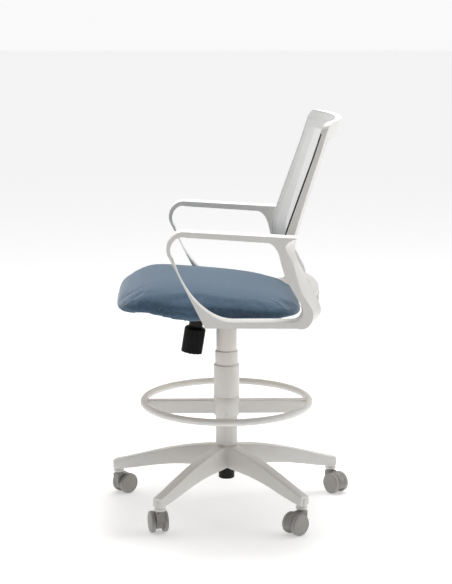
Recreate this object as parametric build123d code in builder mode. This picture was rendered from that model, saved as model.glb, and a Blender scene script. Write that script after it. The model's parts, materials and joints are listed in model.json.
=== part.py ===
"""Drafting-height swivel armchair: five-star base on twin-wheel casters, gas lift with
telescopic covers, foot ring, swivel-tilt mechanism, upholstered seat, loop arms, mesh back.

Frame: origin on the floor under the column axis, +Z up, the sitter faces -Y, +X is the
sitter's left. All lengths are millimetres.
"""
from build123d import *
import math
import os

os.makedirs("parts", exist_ok=True)

# ---------------------------------------------------------------- driving dimensions
fit_gap = 0.05            # radial play of a running or seated fit
free_gap = 0.4            # radial play between telescoping covers

# five-star base
leg_count = 5
first_leg_angle = 37.2
base_radius = 300.0       # column axis to caster stem axis
hub_radius = 31.5
hub_top = 162.0
hub_bottom = 106.0
leg_wall = 3.5
socket_bottom = 63.0
socket_top = 88.0
socket_radius = 13.0
socket_lip = 1.5
socket_lip_height = 5.0
leg_root_radius = 18.0    # where a leg starts inside the hub
leg_soften = 3.0
leg_hollow_start = 20.0   # the hollow starts this far outside the leg's root

# casters
wheel_radius = 27.5
wheel_width = 12.0
caster_width = 45.0
caster_trail = 21.0
stem_radius = 5.5
stem_length = 30.0
axle_radius = 4.0
hood_side_gap = 0.6       # between the hood and each wheel
hood_recess = 1.0         # the hood's rim stands this far inside the wheel's
hood_web = 4.0            # middle web, with the hood's roof on both sides of it
hood_roof = 3.0
hood_boss_radius = 9.0    # round the axle
hood_opening_top = 16.0   # the hood ends this far above the floor
neck_radius = 11.0
caster_headings = [-49.0, 38.0, 70.0, 131.0, 194.0]

# column
tube_radius = 25.0        # stand tube of the gas lift
tube_wall = 2.0
nose_radius = 21.0
nose_bottom = 71.0
nose_floor = 4.0
nose_rim = 5.0            # nose bottom to the underside of its floor
taper_drop = 1.2          # how much the tube narrows in the hub
sleeve_radius = 28.6
sleeve_height = 80.0
ring_hub_radius = 34.0
ring_hub_height = 50.0
ring_hub_grip = 16.0      # height of the ring hub that grips the stand tube
lower_cover_radius = 33.5
lower_cover_height = 135.0    # sleeve top to lower cover top
upper_cover_radius = 26.6
cover_wall = 2.7
middle_cover_show = 37.0
upper_cover_show = 78.0
middle_cover_length = 122.0
upper_cover_length = 163.0
tube_top_margin = 8.0     # the stand tube ends this far above the lower cover

# gas lift inside
pressure_radius = 14.0
pressure_wall = 1.5
rod_radius = 5.0
piston_height = 10.0
piston_above_tube_end = 157.0
pressure_below_tube_top = 180.0
pin_length = 14.0         # of the release pin inside the pressure tube
valve_depth = 18.0        # solid top of the pressure tube
tube_end_wall = 14.0
pin_radius = 4.0
pin_show = 4.5
bush_length = 60.0

# foot ring
ring_radius = 216.0       # to the centre of the tube
ring_tube_radius = 9.0
ring_rise = 36.0          # ring centre above the sleeve top
bridge_width = 24.0
bridge_wall = 3.0
bridge_drop = 31.0        # ring centre to the bridge's lower edge
bridge_top = 4.0          # bridge's upper edge above the ring centre
bridge_tip_wall = 9.0
ring_screw_drop = 5.0     # ring centre to the screws that hold the bridge

# tilt mechanism
mechanism_height = 48.0   # mechanism bottom to seat board
housing_half_width = 42.0
sheet = 3.0
plate_thickness = 4.0
plate_half_width = 80.0
plate_front = -105.0
plate_rear = 105.0
plate_corner = 12.0
plate_bolt_x = 66.0
plate_bolt_inset = 15.0
ear_front = 30.0          # the ears' reach before and behind the pivot, at the plate
ear_rear = 24.0
ear_low = 13.0            # and below it
ear_low_half = 14.0
bush_washer = 1.5
bush_flange = 3.0
stirrup_drop = 16.0
stirrup_half_gap = 17.5
stirrup_width = 26.0
stirrup_behind = 3.0      # middle of the stirrup behind the tension bolt
pivot_y = -30.0
pivot_rise = 20.0         # tilt axle above the mechanism bottom
axle_pin_radius = 6.0
pivot_bush_radius = 9.0
ear_gap = 3.0
housing_floor_rise = 8.5  # the front of the housing's floor stands this much higher
housing_ramp_front = -58.0
housing_ramp_rear = -35.0
housing_front_wall = 36.0     # wall heights above the mechanism bottom
housing_middle_wall = 34.0
housing_rear_wall = 12.0
socket_tube_radius = 20.0
socket_tube_drop = 22.0
socket_tube_rise = 20.0
tension_lean = 9.0        # degrees the tension bolt leans back from the vertical
tension_y = -76.4
bolt_radius = 4.0
knob_radius = 27.5
knob_length = 67.0
knob_drop = 25.4          # housing floor to knob top, along the bolt
knob_flutes = 14
knob_flute_radius = 4.0
knob_flute_out = 2.4      # the flutes' axes stand this far outside the knob
knob_collar = 9.0         # plain top of the knob
knob_bevel = 4.0
knob_floor = 18.0
tension_head_radius = 8.0
tension_head_height = 5.0
tension_head_gap = 2.3    # slack under the bolt's head, along the leaning bolt
spring_cup_radius = 18.0
spring_cup_length = 30.0
spring_radius = 11.0
spring_wire = 1.5
lever_reach = 235.0
lever_rod_radius = 4.0
lever_drop = 31.0
lever_inner_end = 5.0     # past the release pin's axis
lever_straight = 18.0     # the rod bends down this far outside the housing
lever_bend = 60.0
lever_pin_gap = 0.3       # between the rod and the release pin
fulcrum_x = -34.0
fulcrum_radius = 2.0
lug_thickness = 3.0
lug_side_gap = 1.0
lug_length = 11.0
lug_low = 8.0             # the fulcrum's lugs reach this far below the rod's axis
lug_high = 5.0
paddle_length = 62.0
paddle_width = 36.0
paddle_thickness = 7.0
paddle_overlap = 14.0     # how far the paddle covers the rod's end
paddle_socket_wall = 3.0
paddle_socket_length = 26.0
paddle_edge = 2.0

# seat
seat_half_width = 240.0
seat_front = -285.0
seat_rear = 190.0
seat_rear_corner = 120.0
seat_front_corner = 60.0
seat_crown = 77.0         # crown above the underside of the seat board
seat_rear_rise = 20.0     # where the crown line meets the rear edge
cushion_front_rise = 17.0
board_thickness = 12.0
board_inset = 14.0
board_flat_front = -110.0
board_lift_y = -205.0
board_lift = 20.0
board_front = -240.0

# arms
arm_gap = 12.0            # seat side to the arm's inner face
arm_width = 48.0
arm_ridge_inset = 38.0    # the rear upright's slanted face starts this far from the outside
arm_flange_reach = 102.0
arm_flange_thickness = 6.0
arm_flange_front = -20.0
arm_flange_rear = 130.0
arm_bolt_x = 185.0
arm_bolt_ys = [5.0, 55.0, 105.0]
arm_lug_radius = 11.0
arm_lug_centres = [(157.0, 110.0), (176.0, 74.0)]   # y, height above the seat board

# back
back_half_width = 220.0
back_sag = 42.0           # how far the middle stands behind the side rails
back_sag_span = 213.0     # half chord over which the sag is measured
back_bottom = 7.0         # heights above the seat board
back_top = 480.0
yoke_top = 50.0
top_rail = 44.0
rail_width = 28.0
mesh_thickness = 2.0
strip_thickness = 4.0
strip_width = 7.0
strip_recess = 2.0        # the strip's outer edge inside the rail's side
strip_below_top = 26.0    # the strips end this far below the top of the back
seam_gap = 0.15           # between the stacked layers of the back
back_corner = 22.0
window_corner = 16.0
cut_depth = 400.0         # reaches past the whole back
yoke_window_low = 19.0
yoke_window_high = 42.0
yoke_windows = [(8.0, 98.0), (110.0, 188.0)]        # x from, x to, on each side

# fasteners
screw_radius = 3.0
screw_head_radius = 6.0
screw_head_height = 4.0

# ---------------------------------------------------------------- heights worked out
sleeve_top = hub_top + sleeve_height
ring_z = sleeve_top + ring_rise
lower_cover_top = sleeve_top + lower_cover_height
middle_cover_top = lower_cover_top + middle_cover_show
mechanism_z = middle_cover_top + upper_cover_show
seat_z = mechanism_z + mechanism_height       # underside of the seat board
tube_top = lower_cover_top + tube_top_margin
pivot_z = mechanism_z + pivot_rise
arm_inner = seat_half_width + arm_gap
arm_outer = arm_inner + arm_width
pressure_bottom = tube_top - pressure_below_tube_top
pressure_top = mechanism_z + socket_tube_rise
lever_z = pressure_top + pin_show + lever_pin_gap + lever_rod_radius


def export(part, name):
    """Label a finished piece and write it."""
    part.part.label = name
    export_step(part.part, f"parts/{name}.step")


def ring_of_rotation(profile):
    """Turn a closed profile of (radius, height) points about the column axis."""
    with BuildPart() as body:
        with BuildSketch(Plane.XZ):
            with BuildLine():
                Polyline(*profile, close=True)
            make_face()
        revolve(axis=Axis.Z)
    return body


# ---------------------------------------------------------------- five-star base
def leg_section(radius, low, high, top_width, bottom_width, soften):
    """Trapezoid across a leg that runs along +X."""
    station = Plane(origin=(radius, 0, 0), x_dir=(0, 1, 0), z_dir=(1, 0, 0))
    with BuildSketch(station) as section:
        with BuildLine():
            Polyline(
                (-bottom_width / 2, low),
                (bottom_width / 2, low),
                (top_width / 2, high),
                (-top_width / 2, high),
                close=True,
            )
        make_face()
        if soften > 0:
            fillet(section.vertices(), soften)
    return section.sketch.face()


# (share of the leg's length, underside, top, top width, bottom width)
leg_stations = [
    (0.00, hub_bottom, hub_top - 1.0, 30.0, 44.0),
    (0.30, 103.0, 151.0, 29.0, 41.0),
    (0.63, 91.5, 129.0, 27.0, 36.0),
    (0.88, 77.0, 108.0, 26.0, 31.0),
    (1.04, 73.0, 96.0, 25.0, 28.0),
]
leg_run = base_radius - leg_root_radius

with BuildPart() as leg_shell:
    loft([
        leg_section(leg_root_radius + share * leg_run, low, high, top_width, bottom_width, leg_soften)
        for share, low, high, top_width, bottom_width in leg_stations
    ])

with BuildPart() as leg_hollow:
    loft([
        leg_section(
            leg_root_radius + leg_hollow_start + share * (leg_run - leg_hollow_start - leg_wall),
            low - 2.0,
            high - leg_wall - 1.0,
            top_width - 2 * leg_wall,
            bottom_width - 2 * leg_wall,
            0.0,
        )
        for share, low, high, top_width, bottom_width in leg_stations[:4]
    ])

with BuildPart() as leg_rib:
    loft([
        leg_section(
            leg_root_radius + share * (leg_run - 6.0), low + 4.0, high - leg_wall, leg_wall, leg_wall, 0.0
        )
        for share, low, high, top_width, bottom_width in leg_stations[:4]
    ])

leg_angles = [first_leg_angle + 360.0 / leg_count * k for k in range(leg_count)]
with BuildPart() as star_base:
    for angle in leg_angles:
        add(leg_shell.part.rotate(Axis.Z, angle))
    for angle in leg_angles:
        add(leg_hollow.part.rotate(Axis.Z, angle), mode=Mode.SUBTRACT)
    for angle in leg_angles:
        add(leg_rib.part.rotate(Axis.Z, angle))
    with BuildSketch(Plane.XY.offset(hub_bottom)):
        Circle(hub_radius)
    extrude(amount=hub_top - hub_bottom)
    for angle in leg_angles:
        foot = Vector(base_radius, 0, 0).rotate(Axis.Z, angle)
        with BuildSketch(Plane.XY.offset(socket_bottom).move(Location(foot))):
            Circle(socket_radius)
        extrude(amount=socket_top - socket_bottom)
        with BuildSketch(Plane.XY.offset(socket_bottom).move(Location(foot))):
            Circle(socket_radius + socket_lip)
        extrude(amount=socket_lip_height)
        with BuildSketch(Plane.XY.offset(socket_bottom).move(Location(foot))):
            Circle(stem_radius + fit_gap)
        extrude(amount=stem_length, mode=Mode.SUBTRACT)
    with BuildSketch(Plane.XZ):
        with BuildLine():
            Polyline(
                (0, hub_bottom - 1),
                (tube_radius - taper_drop + fit_gap, hub_bottom - 1),
                (tube_radius + fit_gap, hub_top + 1),
                (0, hub_top + 1),
                close=True,
            )
        make_face()
    revolve(axis=Axis.Z, mode=Mode.SUBTRACT)
export(star_base, "star_base")

# ---------------------------------------------------------------- column
tube_bore = tube_radius - tube_wall
nose_bore = nose_radius - tube_wall
nose_top = hub_bottom + 6.0
floor_top = nose_bottom + nose_rim + nose_floor
stand_tube = ring_of_rotation([
    (nose_bore, nose_bottom),
    (nose_radius - 1.0, nose_bottom),
    (nose_radius, nose_bottom + 1.5),
    (nose_radius, nose_top - 2.0),
    (tube_radius - taper_drop, nose_top),
    (tube_radius, hub_top),
    (tube_radius, tube_top),
    (tube_bore, tube_top),
    (tube_bore, nose_top + 6.0),
    (nose_bore, nose_top),
    (nose_bore, floor_top),
    (rod_radius + fit_gap, floor_top),
    (rod_radius + fit_gap, floor_top - nose_floor),
    (nose_bore, floor_top - nose_floor),
])
export(stand_tube, "stand_tube")

guide_bush = ring_of_rotation([
    (pressure_radius + fit_gap, tube_top - bush_length),
    (tube_bore - fit_gap, tube_top - bush_length),
    (tube_bore - fit_gap, tube_top),
    (tube_radius - 0.5, tube_top),
    (tube_radius - 0.5, tube_top + 2.0),
    (pressure_radius + fit_gap, tube_top + 2.0),
])
export(guide_bush, "guide_bush")

bearing_radius = nose_bore - 1.5
washer_thickness = 1.5
ball_radius = 2.0
ball_circle = (rod_radius + bearing_radius) / 2
with BuildPart() as thrust_bearing:
    for washer_z in (floor_top, floor_top + washer_thickness + 2 * ball_radius):
        with BuildSketch(Plane.XY.offset(washer_z)):
            Circle(bearing_radius)
            Circle(rod_radius + 0.6, mode=Mode.SUBTRACT)
        extrude(amount=washer_thickness)
    with Locations((0, 0, floor_top + washer_thickness + ball_radius)):
        with PolarLocations(ball_circle, 10):
            Sphere(ball_radius - 0.02)
export(thrust_bearing, "thrust_bearing")

bumper_bottom = floor_top + 2 * washer_thickness + 2 * ball_radius
bumper = ring_of_rotation([
    (rod_radius + 0.6, bumper_bottom),
    (bearing_radius, bumper_bottom),
    (bearing_radius - 2.0, bumper_bottom + 14.0),
    (rod_radius + 0.6, bumper_bottom + 14.0),
])
export(bumper, "rubber_bumper")

lower_sleeve = ring_of_rotation([
    (tube_radius + fit_gap, hub_top),
    (sleeve_radius, hub_top),
    (sleeve_radius, sleeve_top),
    (tube_radius + fit_gap, sleeve_top),
])
export(lower_sleeve, "lower_sleeve")

# covers: each one slides with free_gap inside the next
middle_bore = upper_cover_radius + free_gap
middle_cover_radius = middle_bore + cover_wall
lower_bore = middle_cover_radius + free_gap
ring_hub_step = sleeve_top + ring_hub_grip
ring_hub_top = sleeve_top + ring_hub_height

lower_cover = ring_of_rotation([
    (lower_bore, ring_hub_top),
    (lower_cover_radius, ring_hub_top),
    (lower_cover_radius, lower_cover_top - 1.0),
    (lower_cover_radius - 1.0, lower_cover_top),
    (lower_bore, lower_cover_top),
])
export(lower_cover, "lower_cover")

middle_cover_bottom = middle_cover_top - middle_cover_length
middle_cover = ring_of_rotation([
    (middle_bore, middle_cover_bottom),
    (middle_cover_radius, middle_cover_bottom),
    (middle_cover_radius, middle_cover_top - 1.0),
    (middle_cover_radius - 1.0, middle_cover_top),
    (middle_bore, middle_cover_top),
])
export(middle_cover, "middle_cover")

upper_bore = tube_radius + free_gap
upper_cover = ring_of_rotation([
    (upper_bore, mechanism_z - upper_cover_length),
    (upper_cover_radius, mechanism_z - upper_cover_length),
    (upper_cover_radius, mechanism_z),
    (socket_tube_radius + fit_gap, mechanism_z),
    (socket_tube_radius + fit_gap, mechanism_z - 2.0),
    (upper_bore, mechanism_z - 2.0),
])
export(upper_cover, "upper_cover")

# ---------------------------------------------------------------- gas lift inside
pressure_bore = pressure_radius - pressure_wall
cone_length = socket_tube_rise + socket_tube_drop
cone_drop = 1.0           # how much the tube's top cone narrows
pressure_tube = ring_of_rotation([
    (rod_radius + fit_gap, pressure_bottom),
    (pressure_radius, pressure_bottom),
    (pressure_radius, pressure_top - cone_length),
    (pressure_radius - cone_drop, pressure_top),
    (pin_radius + fit_gap, pressure_top),
    (pin_radius + fit_gap, pressure_top - valve_depth),
    (pressure_bore, pressure_top - valve_depth - 8.0),
    (pressure_bore, pressure_bottom + tube_end_wall),
    (rod_radius + fit_gap, pressure_bottom + tube_end_wall),
])
export(pressure_tube, "pressure_tube")

piston_z = pressure_bottom + piston_above_tube_end
clip_z = floor_top - nose_floor
piston_rod = ring_of_rotation([
    (0, nose_bottom + 1.0),
    (rod_radius - 1.0, nose_bottom + 1.0),
    (rod_radius - 1.0, clip_z - 0.6),
    (rod_radius, clip_z - 0.2),
    (rod_radius, piston_z),
    (pressure_bore - fit_gap, piston_z),
    (pressure_bore - fit_gap, piston_z + piston_height),
    (0, piston_z + piston_height),
])
export(piston_rod, "piston_rod")

retaining_clip = ring_of_rotation([
    (rod_radius - 1.0, clip_z - 2.2),
    (rod_radius + 4.0, clip_z - 2.2),
    (rod_radius + 4.0, clip_z - 0.8),
    (rod_radius - 1.0, clip_z - 0.8),
])
export(retaining_clip, "retaining_clip")

with BuildPart() as release_pin:
    with BuildSketch(Plane.XY.offset(pressure_top - pin_length)):
        Circle(pin_radius)
    extrude(amount=pin_length + pin_show)
    chamfer(release_pin.edges().group_by(Axis.Z)[-1], 0.8)
export(release_pin, "release_pin")

# ---------------------------------------------------------------- foot ring
with BuildPart() as foot_ring:
    with BuildSketch(Plane.XZ):
        with Locations((ring_radius, ring_z)):
            Circle(ring_tube_radius)
    revolve(axis=Axis.Z)
export(foot_ring, "foot_ring")

bridge_low = ring_z - bridge_drop
bridge_high = ring_z + bridge_top
ring_inner = ring_radius - ring_tube_radius
tip_low = ring_inner - 17.0
with BuildPart() as ring_bridge:
    with BuildSketch(Plane.YZ):
        for side in (1, -1):
            with BuildLine():
                Polyline(
                    (0, bridge_low),
                    (side * tip_low, bridge_low),
                    (side * (ring_inner - 1.0), bridge_low + 21.0),
                    (side * (ring_inner + 4.0), bridge_high),
                    (0, bridge_high),
                    close=True,
                )
            make_face()
    extrude(amount=bridge_width / 2, both=True)
    fillet(ring_bridge.edges().filter_by(Axis.Y), 2.0)
    with BuildSketch(Plane.XY.offset(bridge_low)):
        Rectangle(bridge_width - 2 * bridge_wall, 2 * (tip_low - bridge_tip_wall + 14.0))
    extrude(amount=bridge_high - bridge_low - bridge_wall, mode=Mode.SUBTRACT)
    with BuildSketch(Plane.XZ):
        with BuildLine():
            Polyline(
                (0, sleeve_top),
                (ring_hub_radius - 1.0, sleeve_top),
                (ring_hub_radius, sleeve_top + 1.0),
                (ring_hub_radius, ring_hub_top),
                (0, ring_hub_top),
                close=True,
            )
        make_face()
    revolve(axis=Axis.Z)
    with BuildSketch(Plane.XY.offset(sleeve_top - 1.0)):
        Circle(tube_radius + fit_gap)
    extrude(amount=ring_hub_height + 2.0, mode=Mode.SUBTRACT)
    with BuildSketch(Plane.XY.offset(ring_hub_step)):
        Circle(lower_bore)
    extrude(amount=ring_hub_height, mode=Mode.SUBTRACT)
    with BuildSketch(Plane.XZ):
        with Locations((ring_radius, ring_z)):
            Circle(ring_tube_radius + fit_gap)
    revolve(axis=Axis.Z, mode=Mode.SUBTRACT)
    with BuildSketch(Plane.YZ):
        with Locations((0, sleeve_top + ring_hub_grip / 2)):
            Circle(screw_radius)
    extrude(amount=ring_hub_radius + 1.0, both=True, mode=Mode.SUBTRACT)
    with BuildSketch(Plane.XZ):
        with Locations((0, ring_z - ring_screw_drop)):
            Circle(screw_radius)
    extrude(amount=ring_radius, both=True, mode=Mode.SUBTRACT)
export(ring_bridge, "foot_ring_bridge")

# ---------------------------------------------------------------- tilt mechanism
housing_front = -110.0
housing_rear = 62.0
housing_wall_y = -10.0    # the walls step down behind this, to clear the tilted plate
with BuildPart() as tilt_housing:
    with BuildSketch(Plane.YZ):
        with BuildLine():
            Polyline(
                (housing_front, mechanism_z + housing_floor_rise),
                (housing_ramp_front, mechanism_z + housing_floor_rise),
                (housing_ramp_rear, mechanism_z),
                (housing_rear, mechanism_z),
                (housing_rear, mechanism_z + housing_rear_wall),
                (housing_wall_y, mechanism_z + housing_middle_wall),
                (housing_front, mechanism_z + housing_front_wall),
                close=True,
            )
        make_face()
    extrude(amount=housing_half_width, both=True)
    with BuildSketch(Plane.YZ):
        with BuildLine():
            Polyline(
                (housing_front + sheet, mechanism_z + housing_floor_rise + sheet),
                (housing_ramp_front + 1.0, mechanism_z + housing_floor_rise + sheet),
                (housing_ramp_rear + 1.0, mechanism_z + sheet),
                (housing_rear - sheet, mechanism_z + sheet),
                (housing_rear - sheet, mechanism_z + mechanism_height),
                (housing_front + sheet, mechanism_z + mechanism_height),
                close=True,
            )
        make_face()
    extrude(amount=housing_half_width - sheet, both=True, mode=Mode.SUBTRACT)
    with BuildSketch(Plane.XY.offset(mechanism_z - socket_tube_drop)):
        Circle(socket_tube_radius)
    extrude(amount=socket_tube_drop + socket_tube_rise)
    with BuildSketch(Plane.XZ):
        with BuildLine():
            Polyline(
                (0, mechanism_z - socket_tube_drop - 0.5),
                (pressure_radius + fit_gap, mechanism_z - socket_tube_drop - 0.5),
                (pressure_radius + fit_gap, mechanism_z - socket_tube_drop),
                (pressure_radius - cone_drop + fit_gap, pressure_top),
                (pressure_radius - cone_drop + fit_gap, pressure_top + 1.0),
                (0, pressure_top + 1.0),
                close=True,
            )
        make_face()
    revolve(axis=Axis.Z, mode=Mode.SUBTRACT)
    with BuildSketch(Plane.YZ):
        with Locations((pivot_y, pivot_z)):
            Circle(axle_pin_radius)
    extrude(amount=housing_half_width + 1.0, both=True, mode=Mode.SUBTRACT)
    for side in (1, -1):
        with BuildSketch(Plane.XZ.offset(-side * (lever_rod_radius + lug_side_gap + lug_thickness / 2))):
            with BuildLine():
                Polyline(
                    (-housing_half_width + sheet - 0.5, lever_z - lug_low),
                    (-housing_half_width + sheet + lug_length, lever_z - fulcrum_radius - 2.5),
                    (-housing_half_width + sheet + lug_length, lever_z + lug_high),
                    (-housing_half_width + sheet - 0.5, lever_z),
                    close=True,
                )
            make_face()
            with Locations((fulcrum_x, lever_z)):
                Circle(fulcrum_radius, mode=Mode.SUBTRACT)
        extrude(amount=lug_thickness / 2, both=True)
    with BuildSketch(Plane.YZ.offset(-housing_half_width - 1.0)):
        with Locations((0, lever_z)):
            Circle(lever_rod_radius + 1.5)
    extrude(amount=sheet + 2.0, mode=Mode.SUBTRACT)
    tension_plane = Plane(
        origin=(0, tension_y, mechanism_z + housing_floor_rise),
        x_dir=(1, 0, 0),
        z_dir=Vector(0, 0, 1).rotate(Axis.X, -tension_lean),
    )
    with BuildSketch(tension_plane.offset(-spring_cup_length)):
        Circle(spring_cup_radius)
        Circle(spring_radius + spring_wire + 1.5, mode=Mode.SUBTRACT)
    extrude(amount=spring_cup_length + 1.0)
    with BuildSketch(tension_plane.offset(-2.0)):
        Circle(bolt_radius + 2.0)
    extrude(amount=sheet + 8.0, mode=Mode.SUBTRACT)
export(tilt_housing, "tilt_housing")

with BuildPart() as lever_fulcrum:
    with BuildSketch(Plane.XZ):
        with Locations((fulcrum_x, lever_z)):
            Circle(fulcrum_radius)
    extrude(amount=lever_rod_radius + lug_side_gap + lug_thickness + 1.0, both=True)
export(lever_fulcrum, "lever_fulcrum")

ear_inner = housing_half_width + ear_gap
ear_outer = ear_inner + plate_thickness
with BuildPart() as pivot_axle:
    with BuildSketch(Plane.YZ):
        with Locations((pivot_y, pivot_z)):
            Circle(axle_pin_radius)
    extrude(amount=ear_outer + 4.0, both=True)
    chamfer(pivot_axle.edges().group_by(Axis.X)[-1], 1.0)
    chamfer(pivot_axle.edges().group_by(Axis.X)[0], 1.0)
export(pivot_axle, "pivot_axle")

with BuildPart() as pivot_bushes:
    for side in (1, -1):
        with BuildSketch(Plane.YZ.offset(side * (ear_inner - bush_washer))):
            with Locations((pivot_y, pivot_z)):
                Circle(pivot_bush_radius + bush_flange)
                Circle(axle_pin_radius + fit_gap, mode=Mode.SUBTRACT)
        extrude(amount=side * bush_washer)
        with BuildSketch(Plane.YZ.offset(side * ear_inner)):
            with Locations((pivot_y, pivot_z)):
                Circle(pivot_bush_radius)
                Circle(axle_pin_radius + fit_gap, mode=Mode.SUBTRACT)
        extrude(amount=side * (plate_thickness + 1.0))
export(pivot_bushes, "pivot_bushes")

plate_z = seat_z - plate_thickness
plate_bolt_places = [
    (x, y)
    for x in (-plate_bolt_x, plate_bolt_x)
    for y in (plate_front + plate_bolt_inset, plate_rear - plate_bolt_inset)
]
with BuildPart() as seat_plate:
    with BuildSketch(Plane.XY.offset(plate_z)):
        with Locations((0, (plate_front + plate_rear) / 2)):
            RectangleRounded(2 * plate_half_width, plate_rear - plate_front, plate_corner)
        with Locations(*plate_bolt_places):
            Circle(screw_radius + fit_gap, mode=Mode.SUBTRACT)
    extrude(amount=plate_thickness)
    for side in (1, -1):
        with BuildSketch(Plane.YZ.offset(side * ear_inner)):
            with BuildLine():
                Polyline(
                    (pivot_y - ear_front, plate_z + 1.0),
                    (pivot_y - ear_low_half, pivot_z - ear_low),
                    (pivot_y + ear_low_half, pivot_z - ear_low),
                    (pivot_y + ear_rear, plate_z + 1.0),
                    close=True,
                )
            make_face()
            with Locations((pivot_y, pivot_z)):
                Circle(pivot_bush_radius, mode=Mode.SUBTRACT)
        extrude(amount=side * plate_thickness)
    for side in (1, -1):
        with BuildSketch(Plane.XY.offset(plate_z - stirrup_drop)):
            with Locations((side * stirrup_half_gap, tension_y + stirrup_behind)):
                Rectangle(sheet, stirrup_width)
        extrude(amount=stirrup_drop + 1.0)
    with BuildSketch(Plane.XY.offset(plate_z - stirrup_drop - sheet)):
        with Locations((0, tension_y + stirrup_behind)):
            Rectangle(2 * stirrup_half_gap + sheet, stirrup_width)
            Circle(bolt_radius + 2.5, mode=Mode.SUBTRACT)
    extrude(amount=sheet)
export(seat_plate, "seat_plate")


def bolts_upwards(places, head_top, shank_top):
    """Group of identical hex-head bolts pointing up; the heads' upper faces are at head_top."""
    with BuildPart() as group:
        with BuildSketch(Plane.XY.offset(head_top - screw_head_height)):
            with Locations(*places):
                RegularPolygon(screw_head_radius, 6)
        extrude(amount=screw_head_height)
        with BuildSketch(Plane.XY.offset(head_top)):
            with Locations(*places):
                Circle(screw_radius)
        extrude(amount=shank_top - head_top)
    return group


export(bolts_upwards(plate_bolt_places, plate_z, seat_z + board_thickness - 2.0), "seat_plate_bolts")

# tension bolt, knob and spring lie along the leaning axis
stirrup_above_floor = plate_z - stirrup_drop - (mechanism_z + housing_floor_rise)
bolt_head_at = stirrup_above_floor / math.cos(math.radians(tension_lean)) + tension_head_gap
bolt_end = -knob_drop - knob_length + 6.0
with BuildPart() as tension_bolt:
    with BuildSketch(tension_plane.offset(bolt_end)):
        Circle(bolt_radius)
    extrude(amount=bolt_head_at - bolt_end)
    with BuildSketch(tension_plane.offset(bolt_head_at)):
        RegularPolygon(tension_head_radius, 6)
    extrude(amount=tension_head_height)
export(tension_bolt, "tension_bolt")

knob_top = -knob_drop
knob_bottom = -knob_drop - knob_length
spring_seat = knob_bottom + knob_floor
with BuildPart() as tension_knob:
    with BuildSketch(tension_plane.offset(knob_bottom)):
        Circle(knob_radius)
        with PolarLocations(knob_radius + knob_flute_out, knob_flutes):
            Circle(knob_flute_radius, mode=Mode.SUBTRACT)
    extrude(amount=knob_length - knob_collar)
    with BuildSketch(tension_plane.offset(knob_top - knob_collar)):
        Circle(knob_radius)
    extrude(amount=knob_collar - knob_bevel)
    with BuildSketch(tension_plane.offset(knob_top - knob_bevel)):
        Circle(knob_radius)
    with BuildSketch(tension_plane.offset(knob_top)):
        Circle(knob_radius - knob_bevel)
    loft()
    with BuildSketch(tension_plane.offset(spring_seat)):
        Circle(spring_cup_radius + 1.5)
    extrude(amount=knob_length, mode=Mode.SUBTRACT)
    with BuildSketch(tension_plane.offset(knob_bottom - 1.0)):
        Circle(bolt_radius + fit_gap)
    extrude(amount=knob_length, mode=Mode.SUBTRACT)
export(tension_knob, "tension_knob")

spring_length = -spring_seat - 2 * spring_wire - 1.0
spring_turns = 8
spring_start = tension_plane.offset(spring_seat + spring_wire + 0.3)
with BuildPart() as tension_spring:
    with BuildLine() as coil:
        Helix(
            pitch=spring_length / spring_turns,
            height=spring_length,
            radius=spring_radius,
            center=spring_start.origin,
            direction=spring_start.z_dir,
        )
    with BuildSketch(Plane(origin=coil.line @ 0, z_dir=coil.line % 0)):
        Circle(spring_wire)
    sweep(path=coil.line)
export(tension_spring, "tension_spring")

# seat height lever
with BuildPart() as lever_rod:
    with BuildLine() as lever_path:
        FilletPolyline(
            (lever_inner_end, 0, lever_z),
            (-housing_half_width - lever_straight, 0, lever_z),
            (-lever_reach, 0, lever_z - lever_drop),
            radius=lever_bend,
        )
    with BuildSketch(Plane(origin=lever_path.line @ 0, z_dir=lever_path.line % 0)):
        Circle(lever_rod_radius)
    sweep(path=lever_path.line)
    with BuildSketch(Plane.XZ):
        with Locations((fulcrum_x, lever_z)):
            Circle(fulcrum_radius + fit_gap)
    extrude(amount=lever_rod_radius + 1.0, both=True, mode=Mode.SUBTRACT)
export(lever_rod, "lever_rod")

paddle_end = lever_path.line @ 1
paddle_along = lever_path.line % 1
paddle_plane = Plane(origin=paddle_end, x_dir=paddle_along, z_dir=paddle_along.rotate(Axis.Y, 90))
with BuildPart() as lever_paddle:
    with BuildSketch(paddle_plane.offset(-paddle_thickness / 2)):
        with Locations((paddle_length / 2 - paddle_overlap, 0)):
            RectangleRounded(paddle_length, paddle_width, 12.0)
    extrude(amount=paddle_thickness)
    fillet(lever_paddle.faces().sort_by(Axis.Z)[-1].edges(), paddle_edge)
    with BuildSketch(Plane(origin=paddle_end, z_dir=-paddle_along).offset(-0.02)):
        Circle(lever_rod_radius + paddle_socket_wall)
    extrude(amount=paddle_socket_length)
    add(lever_rod.part, mode=Mode.SUBTRACT)
export(lever_paddle, "lever_paddle")

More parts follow.
